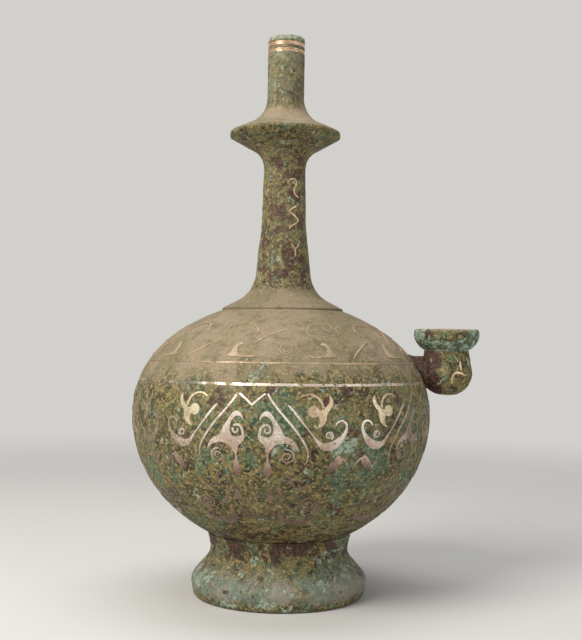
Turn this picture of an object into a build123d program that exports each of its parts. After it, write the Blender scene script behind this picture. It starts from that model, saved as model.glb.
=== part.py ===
import os
from math import atan2, cos, degrees, hypot, pi, radians, sin, sqrt, tan

from build123d import *

os.makedirs("parts", exist_ok=True)

# Belly: dome and bowl meet at the widest level, each a round side that runs into a flatter cap
belly_radius = 95.3
bowl_floor = 29.5
bowl_depth = 86.5
bowl_flattening = 7.5
dome_rise = 72.6
dome_flattening = 12.0
belly_wall = 3.2
lap_height = 6.0
seam_gap = 0.05

# Foot ring
foot_radius = 55.5
foot_rest_radius = 52.0
foot_waist_radius = 44.0
foot_waist_height = 27.0
foot_wall = 3.8

# Neck: skirt on the dome, slender stem, saucer under the flange rim; heights from the dome's top
skirt_radius = 39.0
skirt_step = 1.3
skirt_slope = 27.0
stem_low_radius = 17.2
stem_low_rise = 21.0
stem_waist_radius = 14.1
stem_waist_rise = 49.4
stem_top_radius = 13.4
stem_top_rise = 81.4
stem_sweep = 20.0
skirt_sweep = 22.0
saucer_sweep = 14.0
saucer_slope = 30.0
neck_bore_radius = 10.6
neck_spigot_wall = 2.4
spigot_length = 6.2
spigot_gap = 0.1

# Flange rim, the cone that closes the saucer and the slender tube let into the cone's collar
flange_radius = 35.8
flange_rise = 108.0
flange_edge = 1.2
flange_wall = 2.4
tube_radius = 11.8
tube_bore_radius = 8.8
tube_rise = 63.4
tube_spigot_wall = 1.5
tube_spigot_length = 4.0
cone_slope = 25.0
cone_sweep = 19.0
cone_collar = 1.4
band_width = 2.4
band_depth = 0.5
band_proud = 0.15
band_levels = (4.0, 8.5)

# Filling spout on the +X side: collar, bulb, lip and the ferrule through the wall
spout_rise = 27.5
bulb_radius = 16.6
bulb_clear = 0.3
bulb_round = 14.2
bulb_lean = 2.6
bulb_wall = 2.2
mouth_rise = 15.0
lip_radius = 20.8
lip_height = 13.0
lip_wall = 2.4
collar_radius = 10.6
collar_flare = 2.6
collar_round = 8.0
ferrule_radius = 7.4
ferrule_wall = 1.6
ferrule_gap = 0.05
ferrule_inside = 3.0
ferrule_outside = 2.5

# Sheet metal hammered onto the wall, and wires let into grooves round it
sheet_seat = 0.02
sheet_thickness = 0.45
sheet_reach = 7.0
wire_depth = 0.8
wire_proud = 0.15
frieze_repeats = 5
frieze_turn = -10.0
shoulder_repeats = 5
neck_repeats = 3
neck_turn = 26.0
girdle_low_rise = 21.5
girdle_low_width = 1.5
girdle_high_rise = 33.6
girdle_high_width = 0.9
girdle_stop = 3.0

# Levels and radii that follow from the sizes above
belly_mid = bowl_floor + bowl_depth
bowl_side = bowl_depth - bowl_flattening
dome_side = dome_rise - dome_flattening
dome_top = belly_mid + dome_rise
stem_low_height = dome_top + stem_low_rise
stem_waist_height = dome_top + stem_waist_rise
stem_top_height = dome_top + stem_top_rise
flange_level = dome_top + flange_rise
tube_top = flange_level + tube_rise
spout_level = belly_mid + spout_rise
mouth_level = spout_level + mouth_rise
girdle_low_level = belly_mid + girdle_low_rise
girdle_high_level = belly_mid + girdle_high_rise


def cap_radius(rise, side):
    """Radius of the cap that runs on smoothly from a side of this radius."""
    across = belly_radius - side
    return (across**2 + rise**2 - side**2) / (2 * (rise - side))


def side_end(rise, side):
    """Angle from the level of the belly's middle at which the side gives way to the cap."""
    return degrees(atan2(cap_radius(rise, side) - rise, belly_radius - side))


def half_at(height, rise, side):
    """Radius of one half of the belly at a height from its middle."""
    if height <= side * sin(radians(side_end(rise, side))):
        return belly_radius - side + sqrt(side**2 - height**2)
    cap = cap_radius(rise, side)
    return sqrt(cap**2 - (height + cap - rise) ** 2)


def belly_at(level):
    """Radius of the belly's outside at a level."""
    if level >= belly_mid:
        return half_at(level - belly_mid, dome_rise, dome_side)
    return half_at(belly_mid - level, bowl_depth, bowl_side)


def cap_height(radius, rise, side):
    """Height of the cap from the belly's middle at a radius."""
    cap = cap_radius(rise, side)
    return rise - cap + sqrt(cap**2 - radius**2)


def belly_plane(turn, level):
    """Plane that touches the belly's side, its Y up the wall; turn in degrees from -Y towards +X."""
    radius = belly_at(level)
    height = abs(level - belly_mid)
    way = 1 if level >= belly_mid else -1
    rise, side = (dome_rise, dome_side) if way > 0 else (bowl_depth, bowl_side)
    out = radius - belly_radius + side
    up = height
    if height > side * sin(radians(side_end(rise, side))):
        out = radius
        up = height + cap_radius(rise, side) - rise
    along = Vector(cos(radians(turn)), sin(radians(turn)), 0)
    away = Vector(sin(radians(turn)) * out, -cos(radians(turn)) * out, way * up)
    foot = (radius * sin(radians(turn)), -radius * cos(radians(turn)), level)
    return Plane(origin=foot, x_dir=along, z_dir=away)


def chart_scale():
    """Size of the belly's ornament, whose charts are drawn for a repeat 120.64 long."""
    return 2 * pi * belly_radius / frieze_repeats / 120.64


def chart_plane(turn, above):
    """Plane on the belly at a turn and at a height of the chart from the widest level."""
    return belly_plane(turn, belly_mid + above * chart_scale())


def frieze_plane(along, above):
    """Plane on the belly at a place of the frieze's chart, along and above the widest circle."""
    return chart_plane(degrees(along * chart_scale() / belly_radius), above)


def half_profile(rise, side, inset, way):
    """Arcs of one half of the belly, set in from the outside; way is 1 upwards, -1 downwards."""
    cap = cap_radius(rise, side)
    turn = side_end(rise, side)
    middle = (belly_radius - side, belly_mid)
    CenterArc(middle, side - inset, 0, way * turn)
    CenterArc((0, belly_mid + way * (rise - cap)), cap - inset, way * turn, way * (90 - turn))


def side_band(side, low, high, start, end):
    """Face of a layer of the belly's side between two heights off it and two angles."""
    middle = (belly_radius - side, belly_mid)
    with BuildLine() as outline:
        outside = CenterArc(middle, side + high, start, end - start)
        inside = CenterArc(middle, side + low, start, end - start)
        Line(outside @ 0, inside @ 0)
        Line(outside @ 1, inside @ 1)
    make_face(outline.edges())


def dome_angle(level):
    """Angle on the dome's side that belongs to a level."""
    share = (level - belly_mid) / dome_side
    return degrees(atan2(share, sqrt(1 - share**2)))


def bulb_profile(off):
    """Outline of the bulb about its own axis, at a distance off its outside."""
    core = bulb_radius - bulb_round
    reach = bulb_round + off
    CenterArc((core, spout_level), reach, -90, 90)
    Line((bulb_radius + off, spout_level), (bulb_radius - bulb_lean + off, mouth_level))
    Line((0, spout_level - reach), (core, spout_level - reach))


def stroke(path, widths):
    """Face of one stroke along the path's points, as wide at each as its width."""
    left = []
    right = []
    last = len(path) - 1
    for i, (x, y) in enumerate(path):
        x0, y0 = path[max(i - 1, 0)]
        x1, y1 = path[min(i + 1, last)]
        half = widths[i] / 2 / hypot(x1 - x0, y1 - y0)
        left.append((x - (y1 - y0) * half, y + (x1 - x0) * half))
        right.append((x + (y1 - y0) * half, y - (x1 - x0) * half))
    with BuildLine() as outline:
        Spline(*left)
        Line(left[-1], right[-1])
        Spline(*right[::-1])
        Line(right[0], left[0])
    make_face(outline.edges())


def spiral(outer, inner, start, turns, width):
    """Face of a spiral wire of half circles about the origin, from its outer end inwards."""
    halves = round(2 * abs(turns))
    way = turns / abs(turns)
    step = (inner - outer) / halves

    def edge_point(at, aside):
        reach = outer + step * at + aside * width * (1 - 0.35 * at / halves) / 2
        angle = radians(start + 180 * way * at)
        return (reach * cos(angle), reach * sin(angle))

    with BuildLine() as outline:
        for i in range(halves):
            for aside in (1, -1):
                ThreePointArc(edge_point(i, aside), edge_point(i + 0.5, aside), edge_point(i + 1, aside))
        Line(edge_point(0, 1), edge_point(0, -1))
        Line(edge_point(halves, 1), edge_point(halves, -1))
    make_face(outline.edges())


def shifted(path, x, y):
    """The same points seen from another origin."""
    return [(px - x, py - y) for px, py in path]


def set_on(plane, draw, skin, size=1.0):
    """Solid of one ornament: its outline driven through the layer on the wall."""
    with BuildPart() as piece:
        with BuildSketch(plane):
            draw()
            scale(by=size)
        extrude(amount=sheet_reach, both=True)
        add(skin, mode=Mode.INTERSECT)
    return piece.part


def on_belly(plane, draw):
    """Solid of one ornament on the belly, as large as the belly's charts come out."""
    return set_on(plane, draw, belly_skin.part, chart_scale())


def both_hands(piece):
    """The ornament and its mirror image across the motif's middle."""
    return [piece, mirror(piece, about=Plane.YZ, mode=Mode.PRIVATE)]


# Outer form of the belly, used to seat what stands on it
with BuildPart() as belly_form:
    with BuildSketch(Plane.XZ):
        with BuildLine():
            half_profile(dome_rise, dome_side, 0, 1)
            half_profile(bowl_depth, bowl_side, 0, -1)
            Line((0, bowl_floor), (0, dome_top))
        make_face()
    revolve(axis=Axis.Z)

# Layer on the belly that the sheet ornament is cut from
with BuildPart() as belly_skin:
    with BuildSketch(Plane.XZ):
        with BuildLine():
            for off in (sheet_seat, sheet_thickness):
                half_profile(dome_rise, dome_side, -off, 1)
                half_profile(bowl_depth, bowl_side, -off, -1)
            Line((0, bowl_floor - sheet_thickness), (0, bowl_floor - sheet_seat))
            Line((0, dome_top + sheet_seat), (0, dome_top + sheet_thickness))
        make_face()
    revolve(axis=Axis.Z)

# Outer form of the spout's bulb about its own upright axis, and how far out that axis stands
with BuildPart() as bulb_form:
    with BuildSketch(Plane.XZ):
        with BuildLine():
            bulb_profile(0)
            Line((bulb_radius - bulb_lean, mouth_level), (0, mouth_level))
            Line((0, mouth_level), (0, spout_level - bulb_round))
        make_face()
    revolve(axis=Axis.Z)
bulb_stand = sqrt((dome_side + bulb_round + bulb_clear) ** 2 - spout_rise**2)
spout_reach = belly_radius - dome_side + bulb_radius - bulb_round + bulb_stand
bulb_outside = bulb_form.part.moved(Location((spout_reach, 0, 0)))

# Room that the spout's collar covers on the belly
with BuildPart() as spout_patch:
    with BuildSketch(Plane.YZ):
        with Locations((0, spout_level)):
            Circle(collar_radius + collar_flare + girdle_stop)
    extrude(amount=spout_reach)


def chevron_notch():
    with BuildLine() as outline:
        Polyline(
            shifted(
                [(-7.9, 16.4), (0, 9.6), (7.9, 16.4), (7.0, 17.2), (0, 11.0), (-7.0, 17.2)],
                0,
                13.0,
            ),
            close=True,
        )
    make_face(outline.edges())


def chevron_leg():
    path = [(9.2, 16.6), (20.0, 2.4), (30.4, -11.4), (32.3, -16.0), (32.2, -20.0), (30.8, -23.6)]
    stroke(shifted(path, 21.0, -3.0), [1.0, 1.3, 1.1, 0.9, 0.7, 0.5])


notch = on_belly(frieze_plane(0, 13.0), chevron_notch)
legs = both_hands(on_belly(frieze_plane(21.0, -3.0), chevron_leg))
with BuildPart() as chevron_inlays:
    with PolarLocations(0, frieze_repeats, start_angle=frieze_turn):
        add([notch] + legs, clean=False)
chevron_inlays.part.label = "chevron_inlays"
export_step(chevron_inlays.part, "parts/chevron_inlays.step")


def crested_head():
    with BuildLine() as outline:
        crest = [(4.7, 1.5), (5.7, 5.0), (8.8, 6.8), (13.5, 2.3), (16.8, -2.7), (18.9, -6.9)]
        wing = [(18.9, -6.9), (22.5, -8.4), (25.9, -12.2), (26.9, -16.8)]
        under = [(26.9, -16.8), (24.9, -13.6), (21.7, -11.7), (16.8, -11.3), (10.9, -15.6)]
        drop = [(10.9, -15.6), (10.7, -23.0), (11.9, -27.4), (9.4, -31.6)]
        rise = [(9.4, -31.6), (7.1, -27.4), (8.1, -23.0), (7.9, -15.6)]
        chin = [(7.9, -15.6), (7.4, -12.7), (5.0, -10.2), (3.9, -6.8)]
        hollow = [(3.9, -6.8), (6.4, -7.0), (9.2, -7.8), (11.9, -6.4)]
        throat = [(11.9, -6.4), (12.6, -2.7), (11.4, 1.5), (8.4, 4.0), (4.7, 1.5)]
        for run in (crest, wing, under, drop, rise, chin, hollow, throat):
            Spline(*shifted(run, 13.0, -9.0))
    make_face(outline.edges())
    eye = [
        (4.9, -7.6),
        (5.3, -3.4),
        (7.0, -1.1),
        (9.4, -1.0),
        (10.8, -2.8),
        (10.4, -4.8),
        (8.9, -5.4),
        (7.8, -4.3),
        (8.2, -3.0),
    ]
    stroke(shifted(eye, 13.0, -9.0), [1.6, 1.5, 1.3, 1.2, 1.1, 1.0, 1.0, 0.9, 0.8])


def wing_spiral():
    spiral(4.4, 1.1, 100, -1.6, 0.9)


heads = both_hands(on_belly(frieze_plane(13.0, -9.0), crested_head))
curls = both_hands(on_belly(frieze_plane(20.6, -18.9), wing_spiral))
with BuildPart() as crested_scroll_inlays:
    with PolarLocations(0, frieze_repeats, start_angle=frieze_turn):
        add(heads + curls, clean=False)
crested_scroll_inlays.part.label = "crested_scroll_inlays"
export_step(crested_scroll_inlays.part, "parts/crested_scroll_inlays.step")


def bracket_scroll():
    path = [
        (21.0, 10.3),
        (29.3, 0.3),
        (37.0, -9.0),
        (40.5, -12.4),
        (44.6, -13.0),
        (49.5, -10.9),
        (53.2, -7.0),
        (55.1, -2.6),
        (54.3, 0.6),
        (52.0, 1.6),
        (49.5, 0.7),
        (48.3, -1.4),
    ]
    widths = [0.8, 1.0, 1.5, 3.4, 4.9, 4.3, 2.4, 1.5, 1.2, 1.1, 1.0, 0.7]
    stroke(shifted(path, 38.5, -4.0), widths)


def crescent_spiral():
    spiral(2.4, 0.8, -60, 1.3, 0.9)


brackets = both_hands(on_belly(frieze_plane(38.5, -4.0), bracket_scroll))
rings = both_hands(on_belly(frieze_plane(44.6, -6.6), crescent_spiral))
with BuildPart() as bracket_scroll_inlays:
    with PolarLocations(0, frieze_repeats, start_angle=frieze_turn):
        add(brackets + rings, clean=False)
bracket_scroll_inlays.part.label = "bracket_scroll_inlays"
export_step(bracket_scroll_inlays.part, "parts/bracket_scroll_inlays.step")


def plume():
    with BuildLine() as outline:
        horn = [(44.4, 16.2), (46.9, 12.6), (45.5, 8.9), (43.2, 5.6), (42.8, 2.5), (41.2, -0.6)]
        tail = [(41.2, -0.6), (39.2, -2.0), (36.2, -2.7)]
        inner = [(36.2, -2.7), (38.2, -0.6), (38.7, 2.2), (37.0, 5.0)]
        fork = [(37.0, 8.4), (40.4, 8.0), (43.3, 10.3), (44.8, 13.0), (44.4, 16.2)]
        for run in (horn, tail, inner, fork):
            Spline(*shifted(run, 37.5, 7.0))
        Line((37.0 - 37.5, 5.0 - 7.0), (37.0 - 37.5, 8.4 - 7.0))
    make_face(outline.edges())
    with Locations((35.4 - 37.5, 6.8 - 7.0)):
        Circle(3.3)
    whip = [(40.9, 8.8), (39.8, 12.4), (37.4, 15.2), (33.8, 16.6), (30.6, 16.2), (27.9, 14.8)]
    stroke(shifted(whip, 37.5, 7.0), [1.5, 1.3, 1.2, 1.1, 0.9, 0.6])


plumes = both_hands(on_belly(frieze_plane(37.5, 7.0), plume))
with BuildPart() as plume_inlays:
    with PolarLocations(0, frieze_repeats, start_angle=frieze_turn):
        add(plumes, clean=False)
    add(spout_patch.part, mode=Mode.SUBTRACT)
plume_inlays.part.label = "plume_inlays"
export_step(plume_inlays.part, "parts/plume_inlays.step")


def leaf():
    with BuildLine() as outline:
        outer = [(45.8, -29.8), (45.5, -25.2), (47.8, -21.3), (51.7, -18.1)]
        inner = [(51.7, -18.1), (53.8, -20.6), (51.0, -25.2), (45.8, -29.8)]
        for run in (outer, inner):
            Spline(*shifted(run, 51.0, -23.0))
    make_face(outline.edges())
    vein = [(52.6, -19.6), (56.0, -21.6), (57.8, -24.2), (58.8, -27.4)]
    stroke(shifted(vein, 51.0, -23.0), [1.3, 1.1, 1.0, 0.7])


leaves = both_hands(on_belly(frieze_plane(51.0, -23.0), leaf))
with BuildPart() as leaf_inlays:
    with PolarLocations(0, frieze_repeats, start_angle=frieze_turn):
        add(leaves, clean=False)
leaf_inlays.part.label = "leaf_inlays"
export_step(leaf_inlays.part, "parts/leaf_inlays.step")


def small_spiral():
    spiral(4.0, 1.0, 200, 1.6, 1.3)


def large_spiral():
    spiral(5.8, 1.2, -70, 1.9, 1.4)


pair = both_hands(on_belly(chart_plane(4.5, -53.6), small_spiral))
wide = both_hands(on_belly(chart_plane(21.3, -47.6), large_spiral))
with BuildPart() as low_spiral_inlays:
    with PolarLocations(0, frieze_repeats, start_angle=frieze_turn):
        add(pair + wide, clean=False)
low_spiral_inlays.part.label = "low_spiral_inlays"
export_step(low_spiral_inlays.part, "parts/low_spiral_inlays.step")


def low_cloud():
    path = [
        (-8.4, 9.2),
        (-7.8, 4.0),
        (-5.4, -0.8),
        (-0.5, -3.4),
        (5.5, -2.6),
        (9.6, -1.2),
        (11.4, 1.8),
        (9.6, 4.0),
        (7.4, 3.0),
    ]
    stroke(path, [1.0, 2.6, 4.8, 5.2, 4.0, 2.4, 1.6, 1.2, 0.9])


def low_wedge():
    with BuildLine() as outline:
        Spline((-3.6, -4.8), (-1.2, 0.4), (0.8, 6.4))
        Spline((0.8, 6.4), (2.8, 1.0), (4.6, -2.6))
        Spline((4.6, -2.6), (0.6, -2.8), (-3.6, -4.8))
    make_face(outline.edges())


clouds = both_hands(on_belly(chart_plane(16.0, -57.0), low_cloud))
wedges = both_hands(on_belly(chart_plane(6.0, -42.4), low_wedge))
with BuildPart() as low_cloud_inlays:
    with PolarLocations(0, frieze_repeats, start_angle=frieze_turn):
        add(clouds + wedges, clean=False)
low_cloud_inlays.part.label = "low_cloud_inlays"
export_step(low_cloud_inlays.part, "parts/low_cloud_inlays.step")


def low_stem():
    stroke([(-5.4, 9.2), (-2.4, 4.4), (1.2, -1.8), (4.6, -7.2)], [1.6, 1.3, 1.2, 0.8])


def low_tendril():
    path = [(-5.2, 6.6), (-1.1, 1.1), (2.2, -3.0), (5.2, -2.2), (8.2, 1.2)]
    stroke(path, [1.0, 1.2, 1.4, 1.1, 0.7])


stems = both_hands(on_belly(chart_plane(11.7, -44.0), low_stem))
shoots = both_hands(on_belly(chart_plane(15.0, -35.0), low_tendril))
with BuildPart() as low_stem_inlays:
    with PolarLocations(0, frieze_repeats, start_angle=frieze_turn):
        add(stems + shoots, clean=False)
low_stem_inlays.part.label = "low_stem_inlays"
export_step(low_stem_inlays.part, "parts/low_stem_inlays.step")


def clear_of_spout(figures):
    """The figures beside, above or behind the room that the spout's collar covers."""
    room = spout_patch.part.bounding_box()
    kept = []
    for figure in figures:
        box = figure.bounding_box()
        beside = box.min.Y > room.max.Y or box.max.Y < room.min.Y
        above = box.min.Z > room.max.Z
        behind = box.max.X < room.min.X
        if beside or above or behind:
            kept.append(figure)
    return kept


def shoulder_fan():
    with BuildLine() as outline:
        crest = [(-3.4, 4.8), (-0.4, 6.2), (1.8, 3.4), (2.6, -0.6), (5.4, -4.0)]
        base = [(5.4, -4.0), (1.0, -5.0), (-3.2, -4.6)]
        hollow = [(-3.2, -4.6), (-1.0, -1.6), (-0.6, 2.2), (-3.4, 4.8)]
        for run in (crest, base, hollow):
            Spline(*run)
    make_face(outline.edges())
    stroke([(-2.2, -4.2), (-7.6, -4.8), (-12.6, -3.4)], [1.2, 0.9, 0.6])


def shoulder_loop():
    path = [(-9.6, -6.4), (-10.4, 0.2), (-6.2, 5.6), (0.2, 7.4), (6.4, 5.2), (9.6, -0.4), (8.2, -5.2)]
    stroke(path, [0.6, 0.8, 1.0, 1.1, 1.0, 0.8, 0.6])


fans = both_hands(on_belly(chart_plane(19.3, 41.0), shoulder_fan))
loops = both_hands(on_belly(chart_plane(21.5, 53.0), shoulder_loop))
with BuildPart() as shoulder_clouds:
    with PolarLocations(0, shoulder_repeats):
        add(fans + loops, clean=False)
with BuildPart() as shoulder_cloud_inlays:
    add(clear_of_spout(shoulder_clouds.solids()), clean=False)
shoulder_cloud_inlays.part.label = "shoulder_cloud_inlays"
export_step(shoulder_cloud_inlays.part, "parts/shoulder_cloud_inlays.step")


def shoulder_spiral():
    spiral(4.5, 1.0, 30, 2.0, 0.9)


def shoulder_sweep():
    stroke([(-8.6, -6.6), (-3.0, -1.6), (3.4, 3.2), (9.4, 6.6)], [0.6, 1.1, 1.0, 0.6])


coil = on_belly(chart_plane(1.8, 41.4), shoulder_spiral)
sweep_line = on_belly(chart_plane(-5.0, 50.0), shoulder_sweep)
far_line = on_belly(chart_plane(36.0, 42.0), shoulder_sweep)
with BuildPart() as shoulder_spirals:
    with PolarLocations(0, shoulder_repeats):
        add([coil, sweep_line, far_line], clean=False)
with BuildPart() as shoulder_spiral_inlays:
    add(clear_of_spout(shoulder_spirals.solids()), clean=False)
shoulder_spiral_inlays.part.label = "shoulder_spiral_inlays"
export_step(shoulder_spiral_inlays.part, "parts/shoulder_spiral_inlays.step")

# Two wires round the shoulder, each stopping short of the spout's collar
with BuildPart() as girdle_wire_low:
    with BuildSketch(Plane.XZ):
        low_edge = dome_angle(girdle_low_level - girdle_low_width / 2)
        high_edge = dome_angle(girdle_low_level + girdle_low_width / 2)
        side_band(dome_side, -wire_depth, wire_proud, low_edge, high_edge)
    revolve(axis=Axis.Z)
    add(spout_patch.part, mode=Mode.SUBTRACT)
girdle_wire_low.part.label = "girdle_wire_low"
export_step(girdle_wire_low.part, "parts/girdle_wire_low.step")

with BuildPart() as girdle_wire_high:
    with BuildSketch(Plane.XZ):
        low_edge = dome_angle(girdle_high_level - girdle_high_width / 2)
        high_edge = dome_angle(girdle_high_level + girdle_high_width / 2)
        side_band(dome_side, -wire_depth, wire_proud, low_edge, high_edge)
    revolve(axis=Axis.Z)
    add(spout_patch.part, mode=Mode.SUBTRACT)
girdle_wire_high.part.label = "girdle_wire_high"
export_step(girdle_wire_high.part, "parts/girdle_wire_high.step")

# Lower bowl, closed below, its rim rebated inside for the dome's lap
inner_belly_radius = belly_radius - belly_wall
lap_radius = belly_radius - belly_wall / 2
with BuildPart() as lower_bowl:
    with BuildSketch(Plane.XZ):
        with BuildLine():
            half_profile(bowl_depth, bowl_side, 0, -1)
            half_profile(bowl_depth, bowl_side, belly_wall, -1)
            Line((belly_radius, belly_mid), (inner_belly_radius, belly_mid))
            Line((0, bowl_floor + belly_wall), (0, bowl_floor))
        make_face()
    revolve(axis=Axis.Z)
    with BuildSketch(Plane.XY.offset(belly_mid - lap_height)):
        Circle(lap_radius)
    extrude(amount=lap_height, mode=Mode.SUBTRACT)
lower_bowl.part.label = "lower_bowl"
export_step(lower_bowl.part, "parts/lower_bowl.step")

# Dome: lap below, a hole for the neck's spigot on top and one for the spout's ferrule
spigot_radius = neck_bore_radius + neck_spigot_wall
with BuildPart() as shoulder_dome:
    with BuildSketch(Plane.XZ):
        with BuildLine():
            half_profile(dome_rise, dome_side, 0, 1)
            half_profile(dome_rise, dome_side, belly_wall, 1)
            Line((belly_radius, belly_mid), (inner_belly_radius, belly_mid))
            Line((0, dome_top - belly_wall), (0, dome_top))
        make_face()
    revolve(axis=Axis.Z)
    with BuildSketch(Plane.XY.offset(belly_mid - lap_height + seam_gap)):
        Circle(lap_radius - seam_gap)
        Circle(inner_belly_radius, mode=Mode.SUBTRACT)
    extrude(amount=lap_height + 1.0 - seam_gap)
    with BuildSketch(Plane.XY.offset(belly_mid)):
        Circle(spigot_radius + spigot_gap)
    extrude(amount=2 * dome_rise, mode=Mode.SUBTRACT)
    with BuildSketch(Plane.YZ):
        with Locations((0, spout_level)):
            Circle(ferrule_radius + ferrule_gap)
    extrude(amount=spout_reach, mode=Mode.SUBTRACT)
    add([girdle_wire_low.part, girdle_wire_high.part], mode=Mode.SUBTRACT)
shoulder_dome.part.label = "shoulder_dome"
export_step(shoulder_dome.part, "parts/shoulder_dome.step")

# Foot ring, its top shaped to the bowl
foot_top_radius = foot_waist_radius + 2.4
foot_seat = belly_mid - cap_height(foot_top_radius, bowl_depth, bowl_side)
foot_head = foot_seat + foot_wall
with BuildPart() as foot_ring:
    with BuildSketch(Plane.XZ):
        with BuildLine():
            outside = FilletPolyline(
                (foot_top_radius + 0.6, foot_head),
                (foot_waist_radius - 0.8, foot_waist_height),
                (foot_radius + 1.1, 0.44 * foot_waist_height),
                (foot_radius - 0.9, 1.0),
                (foot_rest_radius, 0),
                radius=(10.0, 7.0, 2.0),
            )
            inside = FilletPolyline(
                (foot_top_radius - foot_wall, foot_head),
                (foot_waist_radius - foot_wall, foot_waist_height),
                (foot_radius - foot_wall, 0.4 * foot_waist_height),
                (foot_rest_radius - foot_wall, 0),
                radius=(10.0, 4.0),
            )
            Line(outside @ 0, inside @ 0)
            Line(outside @ 1, inside @ 1)
        make_face()
    revolve(axis=Axis.Z)
    add(belly_form.part, mode=Mode.SUBTRACT)
foot_ring.part.label = "foot_ring"
export_step(foot_ring.part, "parts/foot_ring.step")

# Sheet ornament along the neck's slender stem
low_lean = (stem_low_radius - stem_waist_radius) / (stem_waist_height - stem_low_height)
top_lean = (stem_waist_radius - stem_top_radius) / (stem_top_height - stem_waist_height)


def stem_radius(level):
    """Radius of the neck's stem at a level."""
    lean = top_lean if level >= stem_waist_height else low_lean
    return stem_waist_radius + (stem_waist_height - level) * lean


def stem_plane(turn, level):
    """Plane that touches the neck's stem, its Y up the stem."""
    radius = stem_radius(level)
    lean = top_lean if level >= stem_waist_height else low_lean
    side = Vector(cos(radians(turn)), sin(radians(turn)), 0)
    away = Vector(sin(radians(turn)), -cos(radians(turn)), lean)
    foot = (radius * sin(radians(turn)), -radius * cos(radians(turn)), level)
    return Plane(origin=foot, x_dir=side, z_dir=away)


with BuildPart() as stem_skin:
    with BuildSketch(Plane.XZ):
        with BuildLine():
            Polyline(
                (stem_low_radius + sheet_seat, stem_low_height),
                (stem_waist_radius + sheet_seat, stem_waist_height),
                (stem_top_radius + sheet_seat, stem_top_height),
                (stem_top_radius + sheet_thickness, stem_top_height),
                (stem_waist_radius + sheet_thickness, stem_waist_height),
                (stem_low_radius + sheet_thickness, stem_low_height),
                close=True,
            )
        make_face()
    revolve(axis=Axis.Z)


def neck_hook():
    path = [(-3.6, 2.0), (-2.4, 5.0), (0.6, 5.2), (1.8, 2.4), (0.4, -0.6), (0.8, -4.4), (3.8, -6.0)]
    stroke(path, [0.7, 1.0, 1.1, 1.1, 1.1, 1.0, 0.7])


def neck_zigzag():
    path = [(3.6, 8.6), (1.0, 6.4), (-2.6, 3.6), (0.6, 0.4), (3.0, -2.6), (-0.8, -5.6), (-3.2, -8.6)]
    stroke(path, [0.7, 1.0, 1.1, 1.1, 1.1, 1.0, 0.7])


def neck_fork():
    stroke([(-3.8, 5.4), (-2.0, 2.2), (-0.2, -1.0), (0.2, -6.0)], [0.7, 1.0, 1.1, 0.8])
    stroke([(3.6, 4.6), (2.6, 1.4), (-0.2, -1.2)], [0.7, 1.0, 1.0])


stem_length = stem_top_height - stem_low_height
hook_plane = stem_plane(neck_turn, stem_low_height + 0.85 * stem_length)
zigzag_plane = stem_plane(neck_turn, stem_low_height + 0.54 * stem_length)
fork_plane = stem_plane(neck_turn, stem_low_height + 0.21 * stem_length)
hook = set_on(hook_plane, neck_hook, stem_skin.part)
zigzag = set_on(zigzag_plane, neck_zigzag, stem_skin.part)
fork = set_on(fork_plane, neck_fork, stem_skin.part)
with BuildPart() as neck_inlays:
    with PolarLocations(0, neck_repeats):
        add([hook, zigzag, fork], clean=False)
neck_inlays.part.label = "neck_inlays"
export_step(neck_inlays.part, "parts/neck_inlays.step")

# Neck: skirt shaped to the dome, spigot through its hole, saucer open upwards
skirt_level = belly_mid + cap_height(skirt_radius, dome_rise, dome_side) + skirt_step
skirt_fall = tan(radians(skirt_slope))
skirt_corner = (skirt_radius - stem_radius(skirt_level)) / (1 / skirt_fall - low_lean)
saucer_fall = tan(radians(saucer_slope))
rim_low = flange_level - flange_edge
saucer_corner = rim_low - (flange_radius - stem_top_radius) * saucer_fall
saucer_inner = flange_radius - flange_wall / sin(radians(saucer_slope))
hollow_corner = flange_level - (saucer_inner - neck_bore_radius) * saucer_fall
spigot_low = dome_top - spigot_length
with BuildPart() as neck:
    with BuildSketch(Plane.XZ):
        with BuildLine():
            outside = FilletPolyline(
                (skirt_radius, skirt_level),
                (stem_radius(skirt_level + skirt_corner), skirt_level + skirt_corner),
                (stem_waist_radius, stem_waist_height),
                (stem_radius(saucer_corner), saucer_corner),
                (flange_radius, rim_low),
                radius=(skirt_sweep, stem_sweep, saucer_sweep),
            )
            inside = FilletPolyline(
                (neck_bore_radius, spigot_low),
                (neck_bore_radius, hollow_corner),
                (saucer_inner, flange_level),
                radius=saucer_sweep + flange_wall,
            )
            Line(outside @ 1, (flange_radius, flange_level))
            Line((flange_radius, flange_level), inside @ 1)
            Line(inside @ 0, (skirt_radius, spigot_low))
            Line((skirt_radius, spigot_low), outside @ 0)
        make_face()
    revolve(axis=Axis.Z)
    add(belly_form.part, mode=Mode.SUBTRACT)
    with BuildSketch(Plane.XY.offset(spigot_low)):
        Circle(spigot_radius)
        Circle(neck_bore_radius, mode=Mode.SUBTRACT)
    extrude(amount=spigot_length + 1.0)
neck.part.label = "neck"
export_step(neck.part, "parts/neck.step")

# Bands let into the tube below its tip
with BuildPart() as tip_bands:
    for below in band_levels:
        with BuildSketch(Plane.XY.offset(tube_top - below - band_width)):
            Circle(tube_radius + band_proud)
            Circle(tube_radius - band_depth, mode=Mode.SUBTRACT)
        extrude(amount=band_width)
tip_bands.part.label = "tip_bands"
export_step(tip_bands.part, "parts/tip_bands.step")

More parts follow.
